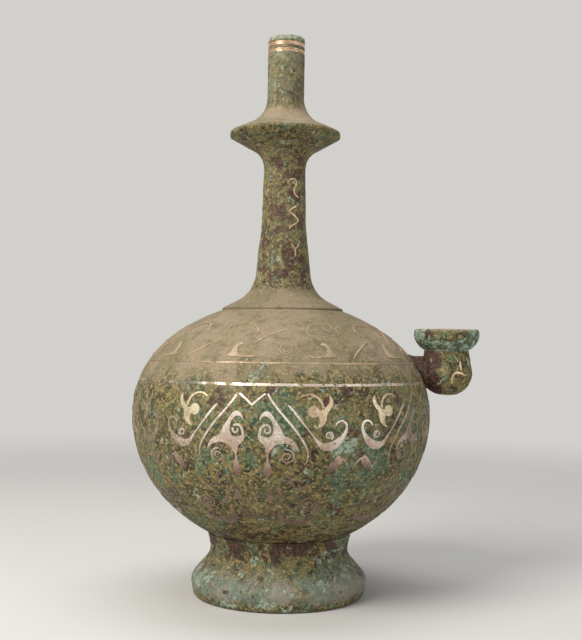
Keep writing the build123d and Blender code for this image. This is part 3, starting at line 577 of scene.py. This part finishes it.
def patina(s):
    """Colour, roughness and height of the corroded bronze, and the dust on it."""
    wide = s.grain(38.0, 3.0, 0.5, 53.3)
    broad = s.grain(16.0, 4.0, 0.55)
    mid = s.grain(5.0, 6.0, 0.66, 11.3)
    fine = s.grain(1.9, 6.0, 0.70, 3.1)
    grit = s.grain(1.0, 3.0, 0.6, 25.1)

    # Ground: olive, mottled in several sizes
    colour = s.mix(s.step(mid, 0.40, 0.58), OLIVE_DARK, OLIVE_LIGHT)
    colour = s.layer(colour, s.step(wide, 0.44, 0.60), 0.45, OLIVE_GREY)
    colour = s.layer(colour, s.step(s.grain(10.0, 5.0, 0.6, 67.1), 0.50, 0.62), 0.55, EARTH)
    colour = s.layer(colour, s.step(fine, 0.50, 0.60), 0.85, OCHRE)
    colour = s.layer(colour, s.step(s.grain(2.8, 6.0, 0.7, 15.9), 0.53, 0.61), 0.75, MOSS)
    colour = s.layer(colour, s.step(grit, 0.58, 0.66), 0.60, SOOT)

    # Green patches and clusters of teal specks
    green = s.edge(s.share("green"), 2.6, 0.44, 0.72, 1.9)
    colour = s.layer(colour, green, 0.55, s.mix(s.step(fine, 0.44, 0.58), GREEN_DARK, GREEN_LIGHT))
    cluster = s.step(s.grain(20.0, 3.0, 0.5, 31.3), 0.50, 0.62)
    specks = s.math("MULTIPLY", s.step(s.grain(2.0, 5.0, 0.65, 7.7), 0.53, 0.63), cluster)
    colour = s.layer(colour, specks, 0.66, TEAL)

    # Pale chalk
    pale = s.edge(s.share("pale"), 3.0, 0.15, 0.95, 5.3)
    chalk = s.mix(s.step(broad, 0.40, 0.58), CHALK_GREEN, CHALK_GREY)
    chalk = s.layer(chalk, s.step(fine, 0.47, 0.60), 0.5, CHALK_LIGHT)
    chalk = s.layer(chalk, s.step(grit, 0.52, 0.64), 0.5, CHALK_DARK)
    colour = s.layer(colour, pale, 0.85, chalk)

    # Red oxide, crust and pits
    flecks = s.step(s.grain(2.6, 5.0, 0.65, 21.7), 0.60, 0.66)
    red = s.edge(s.share("red"), 2.4, 0.46, 0.60, 8.9)
    oxide = s.mix(s.step(fine, 0.42, 0.60), OXIDE_DARK, OXIDE_LIGHT)
    colour = s.layer(colour, s.math("MAXIMUM", red, flecks), 0.88, oxide)
    crust = s.edge(s.share("crust"), 1.7, 0.46, 0.68, 4.4)
    bloom = s.mix(s.step(fine, 0.40, 0.56), CRUST_GREEN, CRUST_WHITE)
    colour = s.layer(colour, crust, 0.78, bloom)
    pits = s.step(s.cells(2.4), 0.17, 0.06)
    pits = s.math("MULTIPLY", pits, s.step(broad, 0.42, 0.56))
    colour = s.layer(colour, pits, 0.85, PIT)

    # Dust over all of it
    dust = s.edge(s.share("dust"), 1.5, 0.20, 0.80, 6.1)
    sand = s.mix(s.step(wide, 0.42, 0.58), SAND_GREEN, SAND_ROSE)
    sand = s.layer(sand, s.step(fine, 0.46, 0.60), 0.40, SAND_LIGHT)
    sand = s.layer(sand, s.step(s.grain(9.0, 5.0, 0.65, 41.7), 0.53, 0.64), 0.50, SAND_BROWN)
    sand = s.layer(sand, s.step(s.grain(6.0, 5.0, 0.65, 47.9), 0.54, 0.66), 0.50, SAND_OLIVE)
    colour = s.layer(colour, dust, 0.86, sand)

    height = s.math("ADD", s.math("MULTIPLY", fine, 0.9), s.math("MULTIPLY", grit, 0.5))
    height = s.math("ADD", height, s.math("MULTIPLY", mid, 0.6))
    height = s.math("SUBTRACT", height, s.math("MULTIPLY", pits, 0.5))
    height = s.math("ADD", height, s.math("MULTIPLY", crust, 0.35))
    rough = s.step(fine, 0.35, 0.65, 0.55, 0.84)
    rough = s.math("ADD", rough, s.math("MULTIPLY", dust, 0.12))
    return colour, rough, height, dust


def bronze_material():
    s = Shade("bronze")
    colour, rough, height, _ = patina(s)
    s.links.new(colour, s.bsdf.inputs["Base Color"])
    s.links.new(rough, s.bsdf.inputs["Roughness"])
    s.bsdf.inputs["Metallic"].default_value = 0.08
    s.bsdf.inputs["Specular IOR Level"].default_value = 0.35
    s.bump(height, strength=0.6, distance_mm=0.5)
    return s.mat


# Pairs of tones of the inlaid metals: rubbed and worn

SILVER_WHITE = (srgb(238, 230, 218), srgb(202, 184, 168))
SILVER_ROSE = (srgb(206, 184, 166), srgb(174, 148, 130))
SILVER_MAUVE = (srgb(132, 106, 92), srgb(96, 76, 66))
SILVER_UMBER = (srgb(136, 112, 96), srgb(98, 78, 66))
SILVER_TAN = (srgb(196, 172, 140), srgb(160, 136, 108))
GOLD_PALE = (srgb(232, 220, 182), srgb(198, 170, 142))
GOLD_TAN = (srgb(200, 176, 136), srgb(160, 134, 104))
GOLD_ROSE = (srgb(214, 184, 154), srgb(172, 138, 112))
# Tones laid on the ornament's sides as painted shade
SIDE_SHADE_TONES = (srgb(150, 122, 100), srgb(104, 82, 68))


def inlay_material(name, tones, levels_mm, gleam, covered, lost=0.0):
    """Sheet metal, rubbed bright in places, dull and crusted in others.

    It goes from the first pair of tones to the second over the first two levels and to the third over
    the last two. The higher covered is, the less of it lies under patina. Long stretches are lost
    under the patina by the last share.
    """
    s = Shade(name)
    colour, rough, height, dust = patina(s)
    fine = s.grain(1.4, 5.0, 0.6, 9.2)
    blend = s.math("MULTIPLY", s.math("ADD", s.grain(13.0, 3.0, 0.5, 2.2), fine), 0.5)
    worn = s.step(blend, 0.44, 0.56)
    level = s.level()
    tone = s.mix(worn, *tones[0])
    for pair, low, high in zip(tones[1:], levels_mm[0::2], levels_mm[1::2]):
        tone = s.mix(s.step(level, low * MM, high * MM), tone, s.mix(worn, *pair))
    # Painted shade: this share darkens the tone towards the ornament's sides
    side_shade = s.share("side_shade")
    tone = s.layer(tone, side_shade, 0.72, s.mix(worn, *SIDE_SHADE_TONES))
    cover = s.step(s.grain(3.0, 6.0, 0.70, 5.5), covered, covered + 0.07)
    cover = s.math("MAXIMUM", cover, s.math("MULTIPLY", dust, 0.35))
    # Painted shade: patina colour laid over the ornament's sides as they turn from the front
    side_shade_cover = s.edge(side_shade, 2.2, 0.55, 0.95, 3.3)
    cover = s.math("MAXIMUM", cover, s.math("MULTIPLY", side_shade_cover, 0.55))
    cover = s.math("MAXIMUM", cover, s.step(s.grain(46.0, 4.0, 0.6, 61.3), 0.50, 0.56, 0.0, lost))
    s.links.new(s.mix(cover, tone, colour), s.bsdf.inputs["Base Color"])
    bare = s.math("SUBTRACT", 1.0, cover)
    s.links.new(s.math("MULTIPLY", bare, gleam), s.bsdf.inputs["Metallic"])
    polish = s.math("MULTIPLY", s.step(fine, 0.3, 0.7, 0.28, 0.48), bare)
    s.links.new(s.math("ADD", polish, s.math("MULTIPLY", rough, cover)), s.bsdf.inputs["Roughness"])
    s.bump(height, strength=0.25, distance_mm=0.25)
    return s.mat


BRONZE = bronze_material()
SILVER = inlay_material(
    "silver",
    (SILVER_WHITE, SILVER_ROSE, SILVER_MAUVE),
    levels_mm=(114, 98, 99, 87),
    gleam=0.60,
    covered=0.57,
)
WIRE = inlay_material(
    "girdle_silver",
    (SILVER_TAN, SILVER_WHITE, SILVER_TAN),
    levels_mm=(128, 132, 142, 146),
    gleam=0.55,
    covered=0.53,
    lost=0.85,
)
GOLD = inlay_material(
    "gold",
    (GOLD_PALE, GOLD_TAN, GOLD_ROSE),
    levels_mm=(130, 134, 300, 345),
    gleam=0.60,
    covered=0.57,
)
DULL = inlay_material(
    "tarnished_silver",
    (SILVER_UMBER, SILVER_MAUVE, SILVER_TAN),
    levels_mm=(80, 95, 130, 152),
    gleam=0.35,
    covered=0.65,
)


def dress(obj, mat, node):
    """Gives a weathered piece its material and lets it stand for a constructed one."""
    obj.data.materials.clear()
    obj.data.materials.append(mat)
    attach(obj, "root")
    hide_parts(node)


# Belly: two shells with a lap joint at the widest level

lap_r = BELLY_R - WALL / 2
lap_low = BELLY_MID - LAP_DEPTH
bowl_out = half_arcs(BOWL_DEPTH, BOWL_SIDE, 0, -1)
bowl_in = half_arcs(BOWL_DEPTH, BOWL_SIDE, WALL, -1)[::-1]
bowl_in = [p for p in bowl_in if p[1] < lap_low] + [(lap_r, lap_low), (lap_r, BELLY_MID)]
bowl = turned("bowl_shell", bowl_out, bowl_in, segments=480, step=1.25, open_ends=(True, False))
dress(bowl, BRONZE, "lower_bowl")

tongue_r, tongue_low = lap_r - FIT, lap_low + FIT
dome_out = half_arcs(DOME_RISE, DOME_SIDE, 0, 1, DOME_HOLE_R)
dome_in = half_arcs(DOME_RISE, DOME_SIDE, WALL, 1, DOME_HOLE_R)[::-1]
dome_in += [(BELLY_R - WALL, tongue_low), (tongue_r, tongue_low), (tongue_r, BELLY_MID)]
dome = turned("dome_shell", dome_out, dome_in, segments=480, step=1.2, open_ends=(True, False))
dress(dome, BRONZE, "shoulder_dome")

# Foot, cut off where it meets the bowl

foot_top = bowl_level(FOOT_SEAT_R) + FOOT_REACH
foot_out = rounded(
    [
        (FOOT_TOP_R, foot_top),
        (FOOT_WAIST_R, FOOT_WAIST_Z),
        (FOOT_FLARE_R, FOOT_FLARE_Z),
        (FOOT_EDGE_R, FOOT_EDGE_Z),
        (FOOT_BASE_R, 0.0),
    ],
    FOOT_ROUNDS,
    0.5,
)
foot_out = [p for p in resample(foot_out, 0.5) if p[1] < bowl_level(p[0])]
foot_in = rounded(
    [
        (FOOT_TOP_HOLE, foot_top),
        (FOOT_WAIST_HOLE, FOOT_WAIST_Z),
        (FOOT_HOLLOW_R, FOOT_HOLLOW_Z),
        (FOOT_BASE_HOLE, 0.0),
    ],
    FOOT_INNER_ROUNDS,
)[::-1]
foot_in = [p for p in resample(foot_in, 1.0) if p[1] < bowl_level(p[0])]
foot = turned("foot_cast", foot_out, foot_in, segments=360, step=1.0)
dress(foot, BRONZE, "foot_ring")

# Neck: skirt on the shoulder, stem, and the saucer under the flange

skirt_z = dome_level(SKIRT_R) + SKIRT_EDGE
skirt_run = 1 / math.tan(math.radians(SKIRT_SLOPE))
low_lean = (STEM_LOW_R - STEM_R) / STEM_LOW_DROP
stem_start = skirt_z + (SKIRT_R - stem_radius(skirt_z)) / (skirt_run - low_lean)
saucer_fall = math.tan(math.radians(SAUCER_SLOPE))
stem_end = FLANGE_LOW - (FLANGE_R - STEM_TOP_R) * saucer_fall
neck_out = rounded(
    [
        (SKIRT_R, skirt_z),
        (stem_radius(stem_start), stem_start),
        (STEM_R, STEM_Z),
        (stem_radius(stem_end), stem_end),
        (FLANGE_R, FLANGE_LOW),
        (FLANGE_R, FLANGE_MID),
    ],
    (SKIRT_ROUND, STEM_ROUND, SAUCER_ROUND, 0.0),
)
neck_out = [(SKIRT_R, dome_level(SKIRT_R))] + neck_out
saucer_r = FLANGE_R - FLANGE_WALL / math.sin(math.radians(SAUCER_SLOPE))
saucer_low = FLANGE_MID - (saucer_r - NECK_BORE_R) * saucer_fall
neck_in = rounded(
    [(saucer_r, FLANGE_MID), (NECK_BORE_R, saucer_low), (NECK_BORE_R, SPIGOT_LOW)],
    (SAUCER_ROUND + FLANGE_WALL,),
)
neck_in += [(SPIGOT_R, SPIGOT_LOW), (SPIGOT_R, dome_level(SPIGOT_R))]
neck_in += [(r, dome_level(r)) for r in SKIRT_SEAT_ROWS]
neck = turned("neck_cast", neck_out, neck_in, segments=240, step=0.9, open_ends=(False, True))
dress(neck, BRONZE, "neck")

# Flange cone over the saucer, with a socket for the tube

cone_fall = math.tan(math.radians(CONE_SLOPE))
cone_top = FLANGE_HIGH + (FLANGE_R - TUBE_R) * cone_fall
cone_r = FLANGE_R - FLANGE_WALL / math.sin(math.radians(CONE_SLOPE))
cone_under = FLANGE_MID + (cone_r - TUBE_BORE_R) * cone_fall
tube_low = cone_top + CONE_ROUND * math.tan(math.radians((90.0 - CONE_SLOPE) / 2)) + TUBE_LEAD
socket_low = tube_low - SOCKET_DEPTH
cone_out = rounded(
    [(FLANGE_R, FLANGE_MID), (FLANGE_R, FLANGE_HIGH), (TUBE_R, cone_top), (TUBE_R, tube_low)],
    (FLANGE_ROUND, CONE_ROUND),
    0.4,
)
cone_in = [(SOCKET_R, tube_low), (SOCKET_R, socket_low)]
cone_in += rounded(
    [(TUBE_BORE_R, socket_low), (TUBE_BORE_R, cone_under), (cone_r, FLANGE_MID)],
    (CONE_ROUND + FLANGE_WALL,),
)
cone = turned("cone_cast", cone_out, cone_in, segments=240, step=0.8, open_ends=(True, True))
dress(cone, BRONZE, "flange_cone")

# Upper tube with the grooves that hold the two bands


def banded(points):
    out = []
    for r, z in resample(points, 0.5):
        on_side = abs(r - TUBE_R) < 0.1
        groove = on_side and any(abs(z - level) < BAND_HALF for level in BANDS)
        out.append((r - BAND_DEPTH if groove else r, z))
    return out


tube_spigot_r, tube_spigot_low = SOCKET_R - SOCKET_FIT, socket_low + FIT
tube_out = rounded([(TUBE_R, tube_low), (TUBE_R, HEIGHT), (TUBE_BORE_R, HEIGHT)], (TUBE_ROUND,), 0.4)
tube_in = [(TUBE_BORE_R, HEIGHT), (TUBE_BORE_R, tube_spigot_low)]
tube_in += [(tube_spigot_r, tube_spigot_low), (tube_spigot_r, tube_low)]
tube = turned("tube_cast", banded(tube_out), tube_in, segments=240, step=0.6, open_ends=(True, False))
dress(tube, BRONZE, "upper_tube")

# Spout: bulb, lip with a round rim, and collar on the shoulder

spout_axis = (SPOUT_X, 0.0)
bulb_core = BULB_R - BULB_ROUND
bulb_low = SPOUT_Z - BULB_ROUND
bulb_out = [(AXIS_R, bulb_low), (bulb_core, bulb_low)]
bulb_out += arc(bulb_core, SPOUT_Z, BULB_ROUND, -90, 90, 0.4)[1:] + [(BULB_MOUTH, MOUTH_Z)]
bulb_in = [(BULB_MOUTH - BULB_WALL, MOUTH_Z), (BULB_R - BULB_WALL, SPOUT_Z)]
bulb_in += arc(bulb_core, SPOUT_Z, BULB_ROUND - BULB_WALL, 0, -90, 1.0)[1:]
bulb_in += [(AXIS_R, bulb_low + BULB_WALL)]
bulb = turned("bulb_cast", bulb_out, bulb_in, 160, 0.7, spout_axis, rough=1.2, open_ends=(False, True))
dress(bulb, BRONZE, "spout_bulb")

lip_edge = (LIP_R, LIP_Z - LIP_EDGE_DROP)
lip_crest = (LIP_R - LIP_RIM / 2, LIP_Z)
lip_inner_edge = (LIP_R - LIP_RIM, LIP_Z - LIP_EDGE_DROP - LIP_RIM_DROP)
lip_out = bow((BULB_MOUTH, MOUTH_Z), (LIP_SIDE_R, MOUTH_Z + LIP_SIDE_RISE), lip_edge)
lip_out += bow(lip_edge, lip_crest, lip_inner_edge, 12)[1:]
lip_hollow = (LIP_HOLLOW_R, MOUTH_Z + LIP_HOLLOW_RISE)
lip_in = bow(lip_inner_edge, lip_hollow, (BULB_MOUTH - LIP_WALL, MOUTH_Z))[1:]
lip = turned("lip_cast", lip_out, lip_in, 180, 0.6, spout_axis, rough=1.1, open_ends=(True, False))
dress(lip, BRONZE, "spout_lip")

dress(recast("collar_cast", "spout_collar", 0.6), BRONZE, "spout_collar")

# The ferrule and the ornament keep their constructed shapes

# Turns from the front, in degrees, over which painted shade darkens the ornament towards the sides and
# clears behind
BRIGHT_TURN = 3.0
SHADE_FROM, SHADE_TO = 24.0, 60.0
BACK_FROM, BACK_TO = 85.0, 130.0


def finish_node(node, mat, side_shaded=False):
    """Gives a constructed piece its finish, which can be darker away from the bright front by painted
    shade.
    """
    obj = NODES[node]
    obj.data.materials.clear()
    obj.data.materials.append(mat)
    normals = np.zeros(3 * len(obj.data.vertices))
    obj.data.vertices.foreach_get("normal", normals)
    store(obj.data, ("dust",), ramp(0.16, 0.84, normals[2::3]).reshape(-1, 1))
    if side_shaded:
        places = np.zeros(3 * len(obj.data.vertices))
        obj.data.vertices.foreach_get("co", places)
        # Painted shade: darker towards the sides as the piece turns from the front, half as much behind
        turn = np.abs(np.degrees(np.arctan2(places[0::3], -places[1::3])) - BRIGHT_TURN)
        shade_share = ramp(SHADE_FROM, SHADE_TO, turn) * (1.0 - 0.5 * ramp(BACK_FROM, BACK_TO, turn))
        store(obj.data, ("side_shade",), shade_share.reshape(-1, 1))


finish_node("spout_ferrule", BRONZE)
for node in ("chevron_inlays", "crested_scroll_inlays", "bracket_scroll_inlays", "leaf_inlays"):
    finish_node(node, SILVER, side_shaded=True)
for node in ("girdle_wire_low", "girdle_wire_high"):
    finish_node(node, WIRE, side_shaded=True)
finish_node("plume_inlays", GOLD, side_shaded=True)
for node in ("neck_inlays", "bulb_inlay", "tip_bands"):
    finish_node(node, GOLD)
for node in ("low_spiral_inlays", "low_cloud_inlays", "low_stem_inlays"):
    finish_node(node, DULL)
for node in ("shoulder_cloud_inlays", "shoulder_spiral_inlays"):
    finish_node(node, DULL)

# Stage: a pale floor that fades into the background, in metres

BACKGROUND = srgb(210, 208, 204)
FLOOR_COLOUR = srgb(214, 212, 208)
FLOOR_RADIUS = 4.0
FADE_FROM, FADE_TO = 0.35, 1.25


def looked_at(nodes, links):
    """One for rays that show the background, directly, in a reflection or through glass."""
    rays = nodes.new("ShaderNodeLightPath")
    seen = rays.outputs["Is Camera Ray"]
    for kind in ("Is Glossy Ray", "Is Transmission Ray"):
        either = nodes.new("ShaderNodeMath")
        either.operation = "MAXIMUM"
        links.new(seen, either.inputs[0])
        links.new(rays.outputs[kind], either.inputs[1])
        seen = either.outputs[0]
    return seen


def floor_material():
    s = Shade("paper")
    s.bsdf.inputs["Base Color"].default_value = FLOOR_COLOUR
    s.bsdf.inputs["Roughness"].default_value = 0.9
    far = s.nodes.new("ShaderNodeEmission")
    far.inputs["Color"].default_value = BACKGROUND
    radius = s.nodes.new("ShaderNodeVectorMath")
    radius.operation = "LENGTH"
    s.links.new(s.where, radius.inputs[0])
    fade = s.step(radius.outputs["Value"], FADE_FROM, FADE_TO)
    choose = s.nodes.new("ShaderNodeMixShader")
    s.links.new(s.math("MULTIPLY", fade, looked_at(s.nodes, s.links)), choose.inputs["Fac"])
    s.links.new(s.bsdf.outputs[0], choose.inputs[1])
    s.links.new(far.outputs[0], choose.inputs[2])
    s.links.new(choose.outputs[0], s.nodes["Material Output"].inputs["Surface"])
    return s.mat


def floor_mesh():
    mesh = bpy.data.meshes.new("stage")
    bm = bmesh.new()
    bmesh.ops.create_circle(bm, cap_ends=True, radius=FLOOR_RADIUS, segments=96)
    bm.to_mesh(mesh)
    bm.free()
    return mesh


stage = bpy.data.objects.new("stage", floor_mesh())
bpy.context.scene.collection.objects.link(stage)
stage.data.materials.append(floor_material())

# Lamps, in metres and watts


def area(name, place, aim, size, power, tint=(1.0, 1.0, 1.0)):
    data = bpy.data.lights.new(name, "AREA")
    data.shape = "RECTANGLE"
    data.size, data.size_y = size
    data.energy = power
    data.color = tint
    lamp = bpy.data.objects.new(name, data)
    lamp.location = place
    lamp.rotation_euler = (Vector(aim) - Vector(place)).to_track_quat("-Z", "Y").to_euler()
    bpy.context.scene.collection.objects.link(lamp)


WARM, COOL = (1.0, 0.97, 0.92), (0.95, 0.97, 1.0)
area("key", place=(-0.75, -0.75, 0.95), aim=(0, 0, 0.16), size=(0.7, 0.7), power=17.5, tint=WARM)
area("fill", place=(0.95, -0.70, 0.45), aim=(0, 0, 0.15), size=(0.8, 0.8), power=2.8, tint=COOL)
area("top", place=(0.0, 0.10, 1.15), aim=(0, 0, 0.1), size=(0.9, 0.6), power=5.0)

# Room: the object is lit by a dim one, and what is looked at directly or in a reflection is pale

world = bpy.data.worlds.new("room")
bpy.context.scene.world = world
world.use_nodes = True
room_nodes, room_links = world.node_tree.nodes, world.node_tree.links
glow = room_nodes["Background"]
glow.inputs["Color"].default_value = (0.80, 0.82, 0.85, 1.0)
glow.inputs["Strength"].default_value = 0.30
backdrop = room_nodes.new("ShaderNodeBackground")
backdrop.inputs["Color"].default_value = BACKGROUND
choose = room_nodes.new("ShaderNodeMixShader")
room_links.new(looked_at(room_nodes, room_links), choose.inputs["Fac"])
room_links.new(glow.outputs[0], choose.inputs[1])
room_links.new(backdrop.outputs[0], choose.inputs[2])
room_links.new(choose.outputs[0], room_nodes["World Output"].inputs["Surface"])

# Camera at the photograph's angle

camera_data = bpy.data.cameras.new("camera")
camera_data.sensor_fit = "VERTICAL"
camera_data.sensor_height = 36.0
camera_data.lens = 58.3
camera = bpy.data.objects.new("camera", camera_data)
camera.location = (0.0, -0.674, 0.160)
pitch, yaw, roll = math.radians(1.38), math.radians(-0.47), math.radians(0.85)
level_look = Matrix.Rotation(yaw, 3, "Z") @ Matrix.Rotation(math.pi / 2 + pitch, 3, "X")
camera.rotation_euler = (level_look @ Matrix.Rotation(roll, 3, "Z")).to_euler()
bpy.context.scene.collection.objects.link(camera)
bpy.context.scene.camera = camera
bpy.context.scene.view_settings.view_transform = "Standard"
